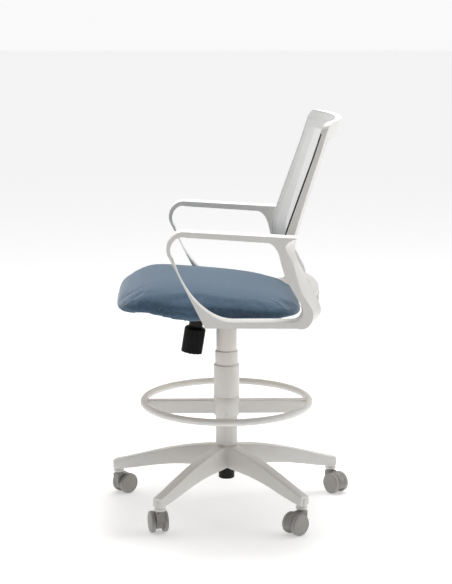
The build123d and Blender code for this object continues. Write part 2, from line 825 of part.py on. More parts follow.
# ---------------------------------------------------------------- seat
with BuildPart() as board_blank:
    with BuildSketch(Plane.YZ):
        with BuildLine():
            Polyline(
                (seat_rear - board_inset, seat_z),
                (board_flat_front, seat_z),
                (board_lift_y, seat_z + board_lift),
                (board_front, seat_z + board_lift + 2.0),
                (board_front, seat_z + board_lift + 2.0 + board_thickness),
                (board_lift_y, seat_z + board_lift + board_thickness),
                (board_flat_front, seat_z + board_thickness),
                (seat_rear - board_inset, seat_z + board_thickness),
                close=True,
            )
        make_face()
    extrude(amount=seat_half_width, both=True)
    with BuildSketch(Plane.XY.offset(seat_z - 10.0)):
        with BuildLine():
            inset_half = seat_half_width - board_inset
            inset_rear = seat_rear - board_inset
            inset_corner = seat_rear_corner - board_inset
            FilletPolyline(
                (inset_half, board_front - 1.0),
                (inset_half, inset_rear),
                (-inset_half, inset_rear),
                (-inset_half, board_front - 1.0),
                radius=inset_corner,
            )
            Line((-inset_half, board_front - 1.0), (inset_half, board_front - 1.0))
        make_face()
    extrude(amount=80.0, mode=Mode.INTERSECT)

with BuildPart() as seat_board:
    add(board_blank.part)
    with BuildSketch(Plane.XY.offset(seat_z - 1.0)):
        with Locations(*plate_bolt_places):
            Circle(screw_radius)
        with Locations(*[(side * arm_bolt_x, y) for side in (1, -1) for y in arm_bolt_ys]):
            Circle(screw_radius)
    extrude(amount=board_thickness - 1.0, mode=Mode.SUBTRACT)
export(seat_board, "seat_board")

with BuildPart() as seat_cushion:
    with BuildSketch(Plane.YZ):
        with BuildLine():
            Spline(
                (board_front, seat_z + cushion_front_rise),
                (seat_front + 4.0, seat_z + 27.0),
                (seat_front + 8.0, seat_z + seat_crown - 35.0),
                (seat_front + 38.0, seat_z + seat_crown - 16.0),
                (-184.0, seat_z + seat_crown - 0.5),
                (-68.0, seat_z + seat_crown - 7.0),
                (86.0, seat_z + seat_crown - 25.0),
                (153.0, seat_z + seat_crown - 44.0),
                (seat_rear, seat_z + seat_rear_rise),
            )
            Polyline(
                (seat_rear, seat_z + seat_rear_rise),
                (seat_rear - 4.0, seat_z),
                (board_flat_front, seat_z),
                (board_lift_y, seat_z + board_lift),
                (board_front, seat_z + cushion_front_rise),
            )
        make_face()
    extrude(amount=seat_half_width, both=True)
    with BuildSketch(Plane.XY.offset(seat_z - 10.0)):
        with BuildLine():
            FilletPolyline(
                (seat_half_width, -60.0),
                (seat_half_width, seat_rear),
                (-seat_half_width, seat_rear),
                (-seat_half_width, -60.0),
                radius=seat_rear_corner,
            )
            FilletPolyline(
                (-seat_half_width, -60.0),
                (-seat_half_width, seat_front),
                (seat_half_width, seat_front),
                (seat_half_width, -60.0),
                radius=seat_front_corner,
            )
        make_face()
    extrude(amount=200.0, mode=Mode.INTERSECT)
    add(board_blank.part, mode=Mode.SUBTRACT)
export(seat_cushion, "seat_cushion")

# ---------------------------------------------------------------- arms
def lifted(points):
    """Move (y, height above the seat board) points to the model's frame."""
    return [(y, seat_z + rise) for y, rise in points]


arm_foot = (-59.0, -5.0)
arm_strut_top = (-147.0, 171.0)
arm_rest_front = (-108.0, 229.0)
arm_rest_tip = (164.0, 212.5)
arm_heel = (160.0, -6.5)


def arm_outline(plane, rear_points):
    """Face bounded by the arm's outside, with the rear upright given by its own points."""
    foot, strut_top, rest_front, rest_tip, heel = lifted(
        [arm_foot, arm_strut_top, arm_rest_front, arm_rest_tip, arm_heel]
    )
    with BuildSketch(plane) as face:
        with BuildLine():
            Line(foot, strut_top)
            Spline(strut_top, (-150.0, seat_z + 193.0), (-137.0, seat_z + 218.0), rest_front)
            Line(rest_front, rest_tip)
            Spline(rest_tip, *lifted(rear_points), heel)
            Line(heel, foot)
        make_face()
    return face.sketch.face()


rear_outside = [(158.0, 176.0), (177.0, 131.0), (209.0, 68.0), (222.0, 29.5), (203.0, 0.5)]
rear_ridge = [(134.0, 185.0), (142.0, 170.0), (178.0, 71.0), (201.0, 27.0), (192.0, 0.5)]

with BuildPart() as left_arm:
    loft(
        [
            arm_outline(Plane.YZ.offset(arm_outer - arm_ridge_inset), rear_outside),
            arm_outline(Plane.YZ.offset(arm_outer), rear_ridge),
        ],
        ruled=True,
    )
    extrude(
        arm_outline(Plane.YZ.offset(arm_inner), rear_outside),
        amount=arm_width - arm_ridge_inset,
        dir=(1, 0, 0),
    )
    with BuildSketch(Plane.YZ.offset(arm_inner - 1.0)):
        with BuildLine():
            Spline(*lifted([(92.0, 202.0), (106.0, 193.0), (117.0, 174.0), (127.0, 137.0), (142.0, 101.0),
                            (168.0, 58.0), (177.0, 36.0), (171.0, 17.5), (152.0, 9.0)]))
            Line(*lifted([(152.0, 9.0), (13.0, 9.5)]))
            Spline(*lifted([(13.0, 9.5), (-35.0, 21.0), (-64.0, 41.0), (-95.0, 75.0), (-134.0, 158.0)]))
            Spline(*lifted([(-134.0, 158.0), (-141.0, 190.0), (-130.0, 210.0), (-104.0, 215.5)]))
            Line(*lifted([(-104.0, 215.5), (92.0, 202.0)]))
        make_face()
    extrude(amount=arm_width + 2.0, mode=Mode.SUBTRACT)
    with BuildSketch(Plane.XY.offset(seat_z - arm_flange_thickness)):
        with Locations((arm_inner + 1.0 - arm_flange_reach / 2, (arm_flange_front + arm_flange_rear) / 2)):
            RectangleRounded(arm_flange_reach + 2.0, arm_flange_rear - arm_flange_front, 10.0)
        with Locations(*[(arm_bolt_x, y) for y in arm_bolt_ys]):
            Circle(screw_radius, mode=Mode.SUBTRACT)
    extrude(amount=arm_flange_thickness)
    with BuildSketch(Plane.XY.offset(seat_z - arm_flange_thickness)):
        with Locations((arm_inner + 6.0, (arm_flange_front + arm_flange_rear) / 2)):
            Rectangle(12.0, arm_flange_rear - arm_flange_front)
    extrude(amount=arm_flange_thickness)
    with BuildSketch(Plane.YZ.offset(back_half_width)):
        with Locations(*lifted(arm_lug_centres)):
            Circle(arm_lug_radius)
    extrude(amount=arm_inner + 6.0 - back_half_width)
    with BuildSketch(Plane.YZ.offset(back_half_width - 1.0)):
        with Locations(*lifted(arm_lug_centres)):
            Circle(screw_radius)
    extrude(amount=arm_inner + 6.0 - back_half_width, mode=Mode.SUBTRACT)
export(left_arm, "left_arm")

with BuildPart() as right_arm:
    add(mirror(left_arm.part, about=Plane.YZ))
export(right_arm, "right_arm")

arm_bolt_places = [(side * arm_bolt_x, y) for side in (1, -1) for y in arm_bolt_ys]
export(
    bolts_upwards(arm_bolt_places, seat_z - arm_flange_thickness, seat_z + board_thickness - 4.0),
    "arm_seat_bolts",
)

# ---------------------------------------------------------------- back
slab_margin = 3.0         # curved slabs stand this far past the outline that trims them
# (height above the seat board, y of the front at the side rails, depth of the frame)
back_stations = [
    (back_bottom - slab_margin, 174.0, 17.0),
    (40.0, 175.0, 21.0),
    (72.0, 159.0, 25.0),
    (105.0, 141.0, 27.0),
    (136.0, 130.5, 28.0),
    (165.0, 127.0, 28.0),
    (200.0, 133.0, 27.0),
    (260.0, 153.0, 24.0),
    (330.0, 177.5, 21.0),
    (405.0, 204.0, 19.0),
    (back_top + slab_margin, 230.5, 17.0),
]


def back_slab(near, far, far_is_depth, half_width):
    """Curved slab that follows the back; near and far are measured behind its front line."""
    faces = []
    half_width += slab_margin
    for rise, front, depth in back_stations:
        y_near = front + near
        y_far = front + (depth if far_is_depth else 0.0) + far
        edge_sag = back_sag * (half_width / back_sag_span) ** 2
        with BuildSketch(Plane.XY.offset(seat_z + rise)) as section:
            with BuildLine():
                ThreePointArc(
                    (-half_width, y_near + back_sag - edge_sag),
                    (0, y_near + back_sag),
                    (half_width, y_near + back_sag - edge_sag),
                )
                Line(
                    (half_width, y_near + back_sag - edge_sag),
                    (half_width, y_far + back_sag - edge_sag),
                )
                ThreePointArc(
                    (half_width, y_far + back_sag - edge_sag),
                    (0, y_far + back_sag),
                    (-half_width, y_far + back_sag - edge_sag),
                )
                Line(
                    (-half_width, y_far + back_sag - edge_sag),
                    (-half_width, y_near + back_sag - edge_sag),
                )
            make_face()
        faces.append(section.sketch.face())
    return loft(faces, mode=Mode.PRIVATE)


def front_view(half_width, low, high, corner):
    """Rounded rectangle seen from the front, long enough in Y to cut the whole back."""
    with BuildSketch(Plane.XZ.offset(-cut_depth)) as outline:
        with Locations((0, seat_z + (low + high) / 2)):
            RectangleRounded(2 * half_width, high - low, corner)
    return extrude(outline.sketch.face(), amount=cut_depth, dir=(0, -1, 0), mode=Mode.PRIVATE)


window_half = back_half_width - rail_width
strip_front = mesh_thickness + seam_gap
strip_low = yoke_top - 14.0
strip_high = back_top - strip_below_top
with BuildPart() as side_grooves:
    add(back_slab(0.0, strip_front + strip_thickness, False, back_half_width))
    add(front_view(back_half_width + 1.0, strip_low, strip_high, 1.0), mode=Mode.INTERSECT)
    strip_inner = back_half_width - strip_recess - strip_width
    add(front_view(strip_inner, strip_low - 5.0, strip_high + 5.0, 1.0), mode=Mode.SUBTRACT)

with BuildPart() as back_frame:
    add(back_slab(strip_front, 0.0, True, back_half_width))
    add(front_view(back_half_width, back_bottom, back_top, back_corner), mode=Mode.INTERSECT)
    add(front_view(window_half, yoke_top, back_top - top_rail, window_corner), mode=Mode.SUBTRACT)
    add(side_grooves.part, mode=Mode.SUBTRACT)
    window_middle = seat_z + (yoke_window_low + yoke_window_high) / 2
    for side in (1, -1):
        for x_from, x_to in yoke_windows:
            with BuildSketch(Plane.XZ.offset(-cut_depth)):
                with Locations((side * (x_from + x_to) / 2, window_middle)):
                    RectangleRounded(x_to - x_from, yoke_window_high - yoke_window_low, 3.0)
            extrude(amount=cut_depth, mode=Mode.SUBTRACT)
    for side in (1, -1):
        with BuildSketch(Plane.YZ.offset(side * (window_half - 5.0))):
            with Locations(*lifted(arm_lug_centres)):
                Circle(screw_radius)
        extrude(amount=side * (rail_width + 10.0), mode=Mode.SUBTRACT)
export(back_frame, "back_frame")

with BuildPart() as mesh_edge_strip:
    add(back_slab(strip_front, strip_front + strip_thickness - seam_gap, False, back_half_width))
    add(
        front_view(back_half_width - strip_recess, strip_low + seam_gap, strip_high - seam_gap, 1.0),
        mode=Mode.INTERSECT,
    )
    add(front_view(strip_inner + seam_gap, strip_low - 5.0, strip_high + 5.0, 1.0), mode=Mode.SUBTRACT)
export(mesh_edge_strip, "mesh_edge_strip")

mesh_half = back_half_width - 0.5
with BuildPart() as back_mesh:
    add(back_slab(0.0, mesh_thickness, False, mesh_half))
    add(front_view(mesh_half, yoke_top - 16.0, back_top, back_corner), mode=Mode.INTERSECT)
export(back_mesh, "back_mesh")

with BuildPart() as arm_back_bolts:
    for side in (1, -1):
        with BuildSketch(Plane.YZ.offset(side * (window_half - screw_head_height))):
            with Locations(*lifted(arm_lug_centres)):
                RegularPolygon(screw_head_radius, 6)
        extrude(amount=side * screw_head_height)
        with BuildSketch(Plane.YZ.offset(side * window_half)):
            with Locations(*lifted(arm_lug_centres)):
                Circle(screw_radius)
        extrude(amount=side * (arm_inner + 2.0 - window_half))
export(arm_back_bolts, "arm_back_bolts")

# ---------------------------------------------------------------- foot ring screws
with BuildPart() as foot_ring_screws:
    for side in (1, -1):
        with BuildSketch(Plane.YZ.offset(side * (tube_radius + fit_gap))):
            with Locations((0, sleeve_top + ring_hub_grip / 2)):
                Circle(screw_radius)
        extrude(amount=side * (ring_hub_radius - tube_radius - 1.0))
        head_y = ring_inner - 14.0
        with BuildSketch(Plane.XZ.offset(-side * head_y)):
            with Locations((0, ring_z - ring_screw_drop)):
                RegularPolygon(screw_head_radius - 0.5, 6)
        extrude(amount=side * screw_head_height)
        with BuildSketch(Plane.XZ.offset(-side * head_y)):
            with Locations((0, ring_z - ring_screw_drop)):
                Circle(screw_radius)
        extrude(amount=-side * 12.0)
export(foot_ring_screws, "foot_ring_screws")

# ---------------------------------------------------------------- casters
wheel_inner = caster_width / 2 - wheel_width      # from the caster's middle plane
hood_half = wheel_inner - hood_side_gap
hood_radius = wheel_radius - hood_recess
neck_top = socket_bottom - 1.0
neck_height = neck_top - 2 * wheel_radius - 1.0
stem_top = socket_bottom + stem_length - 1.0

for number, heading in enumerate(caster_headings, start=1):
    angle = leg_angles[number - 1]
    stem = Vector(base_radius, 0, 0).rotate(Axis.Z, angle)
    along = Vector(1, 0, 0).rotate(Axis.Z, heading)
    across = Vector(0, -1, 0).rotate(Axis.Z, heading)
    middle = Plane(origin=stem, x_dir=along, z_dir=across)      # local x trails, local y is up

    with BuildPart() as hood:
        with BuildSketch(middle):
            with Locations((caster_trail, wheel_radius)):
                Circle(hood_radius)
            with BuildLine():
                Polyline(
                    (-neck_radius, neck_top - neck_height + 1.0),
                    (-neck_radius, wheel_radius + 6.0),
                    (caster_trail, wheel_radius + 6.0),
                    (caster_trail, wheel_radius + hood_radius),
                    (neck_radius, neck_top - neck_height + 1.0),
                    close=True,
                )
            make_face()
            with Locations((caster_trail, hood_opening_top - hood_radius)):
                Rectangle(3 * hood_radius, 2 * hood_radius, mode=Mode.SUBTRACT)
            with Locations((caster_trail, wheel_radius)):
                Circle(axle_radius + fit_gap, mode=Mode.SUBTRACT)
        extrude(amount=hood_half, both=True)
        for side in (1, -1):
            with BuildSketch(middle.offset(side * hood_web / 2)):
                with Locations((caster_trail, wheel_radius)):
                    Circle(hood_radius - hood_roof)
                    Circle(hood_boss_radius, mode=Mode.SUBTRACT)
                with Locations((0, wheel_radius)):
                    Rectangle(2 * (stem_radius + hood_roof), 4 * hood_radius, mode=Mode.SUBTRACT)
            extrude(amount=side * hood_half, mode=Mode.SUBTRACT)
        with BuildSketch(Plane.XY.offset(neck_top - neck_height).move(Location(stem))):
            Circle(neck_radius)
        extrude(amount=neck_height)
        with BuildSketch(Plane.XY.offset(neck_top - 24.0).move(Location(stem))):
            Circle(stem_radius)
        extrude(amount=30.0, mode=Mode.SUBTRACT)
    export(hood, f"caster_{number}_hood")

    with BuildPart() as pins:
        with BuildSketch(Plane.XY.offset(neck_top - 23.5).move(Location(stem))):
            Circle(stem_radius)
        extrude(amount=stem_top - neck_top + 23.5)
        chamfer(pins.edges().group_by(Axis.Z)[-1], 1.0)
        with BuildSketch(middle):
            with Locations((caster_trail, wheel_radius)):
                Circle(axle_radius)
        extrude(amount=caster_width / 2 - 4.0, both=True)
    export(pins, f"caster_{number}_stem_and_axle")

    for side, side_name in ((1, "left"), (-1, "right")):
        axle = Plane(
            origin=stem + along * caster_trail + Vector(0, 0, wheel_radius),
            x_dir=along,
            z_dir=across * side,
        )
        turning = Plane(origin=axle.origin, x_dir=along, z_dir=Vector(0, 0, 1) * -side)
        with BuildPart() as wheel:
            with BuildSketch(turning):
                with BuildLine():
                    outer = caster_width / 2
                    Polyline(
                        (0, outer - 0.8),
                        (wheel_radius - 9.0, outer - 0.2),
                        (wheel_radius - 5.0, outer - 0.8),
                        (wheel_radius - 3.5, outer),
                        (wheel_radius - 1.5, outer - 1.0),
                        (wheel_radius, outer - 3.0),
                        (wheel_radius, wheel_inner + 1.5),
                        (wheel_radius - 1.5, wheel_inner),
                        (axle_radius + fit_gap, wheel_inner),
                        (axle_radius + fit_gap, outer - 3.5),
                        (0, outer - 3.5),
                        close=True,
                    )
                make_face()
            revolve(axis=Axis(axle.origin, axle.z_dir))
        export(wheel, f"caster_{number}_wheel_{side_name}")
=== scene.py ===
"""Looks for the drafting-height swivel armchair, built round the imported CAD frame."""
import bpy
import json
import math
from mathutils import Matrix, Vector, noise


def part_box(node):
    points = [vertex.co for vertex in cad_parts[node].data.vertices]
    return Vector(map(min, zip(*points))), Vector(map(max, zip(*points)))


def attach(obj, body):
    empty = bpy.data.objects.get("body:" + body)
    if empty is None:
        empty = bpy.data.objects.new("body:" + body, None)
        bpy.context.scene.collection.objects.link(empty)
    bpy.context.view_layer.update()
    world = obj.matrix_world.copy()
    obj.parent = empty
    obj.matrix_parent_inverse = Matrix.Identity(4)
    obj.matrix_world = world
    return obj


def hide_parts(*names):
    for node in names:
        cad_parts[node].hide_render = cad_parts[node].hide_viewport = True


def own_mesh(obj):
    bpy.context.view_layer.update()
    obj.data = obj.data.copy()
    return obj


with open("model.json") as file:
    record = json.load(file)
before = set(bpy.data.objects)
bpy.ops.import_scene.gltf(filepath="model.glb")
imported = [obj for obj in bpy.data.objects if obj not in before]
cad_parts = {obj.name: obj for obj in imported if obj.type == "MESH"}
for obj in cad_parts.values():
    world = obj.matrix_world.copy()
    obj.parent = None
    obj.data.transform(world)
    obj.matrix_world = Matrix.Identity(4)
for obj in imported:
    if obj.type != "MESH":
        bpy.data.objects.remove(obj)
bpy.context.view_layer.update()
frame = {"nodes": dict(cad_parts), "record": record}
nodes = frame["nodes"]

# ------------------------------------------------------------------ camera
VIEW_TARGET = Vector((0.0, -0.0014, 0.5668))
VIEW_AZIMUTH = math.radians(88.6)
VIEW_ELEVATION = math.radians(10.85)
VIEW_DISTANCE = 4.1187
LENS_MM = 98.44


def make_camera():
    """Camera at the photograph's viewing angle, a long lens with no shift."""
    data = bpy.data.cameras.new("camera")
    data.lens = LENS_MM
    data.sensor_width = 36.0
    camera = bpy.data.objects.new("camera", data)
    bpy.context.scene.collection.objects.link(camera)
    back = Vector((
        math.sin(VIEW_AZIMUTH) * math.cos(VIEW_ELEVATION),
        -math.cos(VIEW_AZIMUTH) * math.cos(VIEW_ELEVATION),
        math.sin(VIEW_ELEVATION),
    ))
    camera.location = VIEW_TARGET + back * VIEW_DISTANCE
    camera.rotation_mode = "QUATERNION"
    camera.rotation_quaternion = (-back).to_track_quat("-Z", "Y")
    bpy.context.scene.camera = camera


# ------------------------------------------------------------------ studio
WORLD_BEHIND = 0.95    # brightness of the room behind the chair and on the camera's side
WORLD_FRONT = 0.05
TOP_POWER = 52         # watts
BACK_POWER = 26
FLOOR_HALF = 30.0
FLOOR_WHITE = 0.85
FLOOR_GLOW = 0.38


def area_light(name, location, target, size, power, colour=(1, 1, 1)):
    """Square soft box aimed at a point."""
    data = bpy.data.lights.new(name, "AREA")
    data.shape = "RECTANGLE"
    data.size, data.size_y = size
    data.energy = power
    data.color = colour
    light = bpy.data.objects.new(name, data)
    light.location = location
    aim = Vector(target) - Vector(location)
    light.rotation_euler = aim.to_track_quat("-Z", "Y").to_euler()
    bpy.context.scene.collection.objects.link(light)


def stage_plane(name, corners, colour):
    """Flat card that belongs to the studio, not to the chair."""
    mesh = bpy.data.meshes.new(name)
    mesh.from_pydata(corners, [], [(0, 1, 2, 3)])
    card = bpy.data.objects.new(name, mesh)
    bpy.context.scene.collection.objects.link(card)
    paint = bpy.data.materials.new(name + "_paint")
    paint.use_nodes = True
    shader = paint.node_tree.nodes["Principled BSDF"]
    shader.inputs["Base Color"].default_value = (colour, colour, colour, 1)
    shader.inputs["Roughness"].default_value = 0.95
    shader.inputs["Specular IOR Level"].default_value = 0.0
    shader.inputs["Emission Color"].default_value = (1, 1, 1, 1)
    shader.inputs["Emission Strength"].default_value = FLOOR_GLOW
    mesh.materials.append(paint)


def make_studio():
    """White floor, a room that is bright overhead and dim on the camera's side, and two soft boxes."""
    world = bpy.data.worlds.new("studio")
    bpy.context.scene.world = world
    world.use_nodes = True
    tree = world.node_tree
    direction = tree.nodes.new("ShaderNodeTexCoord").outputs["Generated"]
    split = tree.nodes.new("ShaderNodeSeparateXYZ")
    tree.links.new(direction, split.inputs[0])
    shade = tree.nodes.new("ShaderNodeMapRange")
    shade.interpolation_type = "SMOOTHSTEP"
    shade.inputs["From Min"].default_value = -0.35
    shade.inputs["From Max"].default_value = 0.75
    shade.inputs["To Min"].default_value = WORLD_BEHIND
    shade.inputs["To Max"].default_value = WORLD_FRONT
    tree.links.new(split.outputs[0], shade.inputs["Value"])
    tree.nodes["Background"].inputs["Color"].default_value = (1, 1, 1, 1)
    tree.links.new(shade.outputs["Result"], tree.nodes["Background"].inputs["Strength"])
    half = FLOOR_HALF
    stage_plane("floor", [(-half, -half, 0), (half, -half, 0), (half, half, 0), (-half, half, 0)], FLOOR_WHITE)
    area_light("top_box", (-0.3, 0.1, 3.0), (0, 0, 0.4), (0.8, 0.8), TOP_POWER)
    area_light("back_box", (-0.4, 3.6, 2.2), (0, 0, 0.6), (1.8, 2.4), BACK_POWER)
    bpy.context.scene.view_settings.view_transform = "Standard"


# ------------------------------------------------------------------ materials
class Shade:
    """A node material in the making: a Principled shader with helpers for its inputs."""

    def __init__(self, name, roughness=0.5, metallic=0.0, **constants):
        self.material = bpy.data.materials.new(name)
        self.material.use_nodes = True
        self.tree = self.material.node_tree
        self.shader = self.tree.nodes["Principled BSDF"]
        self.shader.inputs["Roughness"].default_value = roughness
        self.shader.inputs["Metallic"].default_value = metallic
        for key, value in constants.items():
            self.shader.inputs[key.replace("_", " ")].default_value = value
        self.coords = self.node("ShaderNodeTexCoord").outputs["Object"]

    def node(self, kind, **settings):
        made = self.tree.nodes.new(kind)
        for key, value in settings.items():
            setattr(made, key, value)
        return made

    def link(self, source, target):
        self.tree.links.new(source, target)

    def noise(self, scale, detail=3.0, stretch=(1, 1, 1), roughness=0.5):
        """Noise value over the object's own coordinates."""
        mapping = self.node("ShaderNodeMapping")
        mapping.inputs["Scale"].default_value = stretch
        self.link(self.coords, mapping.inputs["Vector"])
        texture = self.node("ShaderNodeTexNoise")
        texture.inputs["Scale"].default_value = scale
        texture.inputs["Detail"].default_value = detail
        texture.inputs["Roughness"].default_value = roughness
        self.link(mapping.outputs["Vector"], texture.inputs["Vector"])
        return texture.outputs["Fac"]

    def math(self, operation, first, second=None):
        made = self.node("ShaderNodeMath", operation=operation)
        for socket, value in zip(made.inputs, (first, second)):
            if value is None:
                continue
            if isinstance(value, (int, float)):
                socket.default_value = value
            else:
                self.link(value, socket)
        return made.outputs[0]

    def ramp(self, value, *stops):
        """Colour ramp; stops are (position, colour)."""
        made = self.node("ShaderNodeValToRGB")
        elements = made.color_ramp.elements
        while len(elements) < len(stops):
            elements.new(0.5)
        for element, (position, colour) in zip(elements, stops):
            element.position = position
            element.color = (*colour, 1) if len(colour) == 3 else colour
        self.link(value, made.inputs["Fac"])
        return made.outputs["Color"]

    def colour(self, socket):
        self.link(socket, self.shader.inputs["Base Color"])

    def vary_roughness(self, value, low, high):
        made = self.node("ShaderNodeMapRange")
        made.inputs["To Min"].default_value = low
        made.inputs["To Max"].default_value = high
        self.link(value, made.inputs["Value"])
        self.link(made.outputs["Result"], self.shader.inputs["Roughness"])

    def bump(self, height, strength, distance, before=None):
        made = self.node("ShaderNodeBump")
        made.inputs["Strength"].default_value = strength
        made.inputs["Distance"].default_value = distance
        self.link(height, made.inputs["Height"])
        if before is not None:
            self.link(before, made.inputs["Normal"])
        self.link(made.outputs["Normal"], self.shader.inputs["Normal"])
        return made.outputs["Normal"]


def shift(colour, amount):
    return tuple(min(1.0, max(0.0, channel * (1 + amount))) for channel in colour)


def moulded_plastic(name, colour, roughness=0.45, grain=2600.0, depth=0.00006, mottle=0.03, shine=0.5):
    """Fine spark-eroded texture with slight unevenness of tone."""
    made = Shade(name, roughness, Specular_IOR_Level=shine)
    broad = made.noise(9.0, 2.0)
    made.colour(made.ramp(broad, (0.3, shift(colour, -mottle)), (0.7, shift(colour, mottle))))
    made.vary_roughness(made.noise(40.0), roughness - 0.05, roughness + 0.07)
    made.bump(made.noise(grain, 2.0), 0.35, depth)
    return made.material


def metal(name, colour, roughness, brushed=(1, 1, 40)):
    """Plated or ground steel with fine lines."""
    made = Shade(name, roughness, metallic=1.0)
    lines = made.noise(300.0, 3.0, stretch=brushed)
    made.colour(made.ramp(lines, (0.25, shift(colour, -0.08)), (0.75, shift(colour, 0.06))))
    made.vary_roughness(lines, roughness - 0.06, roughness + 0.08)
    made.bump(lines, 0.12, 0.00003)
    return made.material


def box_weave(made, pitch):
    """Woven threads that follow whichever way the surface faces; 0 in the gaps, 1 on the threads."""
    split = made.node("ShaderNodeSeparateXYZ")
    made.link(made.coords, split.inputs[0])
    facing = made.node("ShaderNodeSeparateXYZ")
    geometry = made.node("ShaderNodeNewGeometry")
    made.link(geometry.outputs["Normal"], facing.inputs[0])
    waves = []
    for axis in range(3):
        angle = made.math("MULTIPLY", split.outputs[axis], 2 * math.pi / pitch)
        waves.append(made.math("SINE", angle))
    total = None
    for axis, (first, second) in enumerate(((1, 2), (0, 2), (0, 1))):
        cross = made.math("MULTIPLY", waves[first], waves[second])
        weight = made.math("POWER", made.math("ABSOLUTE", facing.outputs[axis]), 2.0)
        part = made.math("MULTIPLY", cross, weight)
        total = part if total is None else made.math("ADD", total, part)
    return made.math("ADD", made.math("MULTIPLY", total, 0.5), 0.5)


WEAVE_PITCH = 0.0022


def upholstery(name):
    """Heathered steel-blue weave."""
    made = Shade(name, 0.92, Sheen_Weight=0.6, Sheen_Roughness=0.45, Specular_IOR_Level=0.2)
    made.shader.inputs["Sheen Tint"].default_value = (0.82, 0.88, 0.95, 1)
    weave = box_weave(made, WEAVE_PITCH)
    fleck = made.noise(900.0, 3.0, roughness=0.7)
    streak = made.noise(260.0, 2.0, stretch=(6, 0.6, 0.6))
    mixed = made.math("ADD", made.math("MULTIPLY", fleck, 0.5), made.math("MULTIPLY", streak, 0.5))
    mixed = made.math("ADD", made.math("MULTIPLY", mixed, 0.7), made.math("MULTIPLY", weave, 0.3))
    made.colour(made.ramp(
        mixed,
        (0.30, (0.020, 0.048, 0.085)),
        (0.50, (0.058, 0.102, 0.155)),
        (0.72, (0.150, 0.215, 0.285)),
    ))
    height = made.math("ADD", weave, made.math("MULTIPLY", fleck, 0.6))
    made.bump(height, 0.5, 0.0004)
    return made.material


KNIT_PITCH = 0.0026
KNIT_STRETCH = 1.2     # a cell's height over its width
KNIT_HOLE = 0.42       # a higher number makes smaller holes
KNIT_BAND = 0.026      # closed darker band along the top


def mesh_knit(name):
    """Light grey open knit: small holes let what is behind show faintly."""
    made = Shade(name, 0.75, Sheen_Weight=0.2)
    split = made.node("ShaderNodeSeparateXYZ")
    made.link(made.coords, split.inputs[0])
    across = made.math("SINE", made.math("MULTIPLY", split.outputs[0], 2 * math.pi / KNIT_PITCH))
    up = made.math("SINE", made.math("MULTIPLY", split.outputs[2], 2 * math.pi / (KNIT_PITCH * KNIT_STRETCH)))
    cell = made.math("MULTIPLY", across, up)
    band = made.math("GREATER_THAN", split.outputs[2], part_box("back_mesh")[1].z - KNIT_BAND)
    hole = made.math("GREATER_THAN", cell, KNIT_HOLE)
    solid = made.math("MAXIMUM", made.math("SUBTRACT", 1.0, hole), band)
    made.link(solid, made.shader.inputs["Alpha"])
    tone = made.math("SUBTRACT", made.noise(700.0, 2.0), made.math("MULTIPLY", band, 0.35))
    made.colour(made.ramp(
        tone,
        (0.0, (0.42, 0.42, 0.415)),
        (0.3, (0.60, 0.60, 0.59)),
        (0.7, (0.72, 0.72, 0.71)),
    ))
    made.bump(cell, 0.4, 0.0004)
    return made.material


def ply(name):
    """Raw birch ply: pale grain on the faces."""
    made = Shade(name, 0.7)
    grain = made.noise(60.0, 4.0, stretch=(12, 1, 1))
    made.colour(made.ramp(grain, (0.3, (0.42, 0.27, 0.14)), (0.7, (0.62, 0.46, 0.28))))
    made.bump(grain, 0.15, 0.0002)
    return made.material


WHITE = (0.79, 0.775, 0.745)
materials = {
    "frame_white": moulded_plastic("frame_white", WHITE, 0.42),
    "caster_grey": moulded_plastic("caster_grey", (0.30, 0.29, 0.275), 0.5),
    # The tread is the wheel's grey made lighter: painted light standing for the top light on the upward-facing
    # rim. Its higher roughness is its own.
    "caster_tread": moulded_plastic("caster_tread", (0.37, 0.355, 0.335), 0.55),
    "black_plastic": moulded_plastic("black_plastic", (0.006, 0.006, 0.006), 0.5, shine=0.12),
    "black_rubber": moulded_plastic("black_rubber", (0.008, 0.008, 0.008), 0.8, shine=0.15),
    "black_steel": moulded_plastic("black_steel", (0.008, 0.008, 0.008), 0.45, grain=1200.0, shine=0.2),
    "natural_nylon": moulded_plastic("natural_nylon", (0.70, 0.67, 0.58), 0.4),
    "bearing_steel": metal("bearing_steel", (0.50, 0.50, 0.51), 0.3),
    "plated_steel": metal("plated_steel", (0.62, 0.62, 0.63), 0.35),
    "chromed_rod": metal("chromed_rod", (0.75, 0.75, 0.76), 0.12),
    "plywood": ply("plywood"),
    "seat_fabric": upholstery("seat_fabric"),
    "mesh_fabric": mesh_knit("mesh_fabric"),
}

slot_of = {part["node"]: part["material_slot"] for part in frame["record"]["subparts"]}


def set_material(piece, slot):
    piece.data.materials.clear()
    piece.data.materials.append(materials[slot])


def dress_cad_nodes():
    """Every CAD node gets its slot's material."""
    for name, node in nodes.items():
        node.data.materials.clear()
        node.data.materials.append(materials[slot_of[name]])


def new_piece(name, vertices, faces, slot, body):
    mesh = bpy.data.meshes.new(name)
    mesh.from_pydata(vertices, [], faces)
    mesh.update()
    piece = bpy.data.objects.new(name, mesh)
    bpy.context.scene.collection.objects.link(piece)
    set_material(piece, slot)
    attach(piece, body)
    return piece


# ------------------------------------------------------------------ softened edges
WELD_DISTANCE = 0.00002
FLAT_ANGLE = 0.6       # degrees; facets flatter than this are merged first


def soften(names, width, segments=2, angle=35.0):
    """Rounds the hard edges of CAD nodes for the picture; the mesh underneath is left as it is."""
    for name in names:
        node = nodes[name]
        weld = node.modifiers.new("weld", "WELD")
        weld.merge_threshold = WELD_DISTANCE
        flat = node.modifiers.new("flat", "DECIMATE")
        flat.decimate_type = "DISSOLVE"
        flat.angle_limit = math.radians(FLAT_ANGLE)
        edge = node.modifiers.new("edge", "BEVEL")
        edge.width = width
        edge.segments = segments
        edge.limit_method = "ANGLE"
        edge.angle_limit = math.radians(angle)
        edge.harden_normals = True
        edge.use_clamp_overlap = True


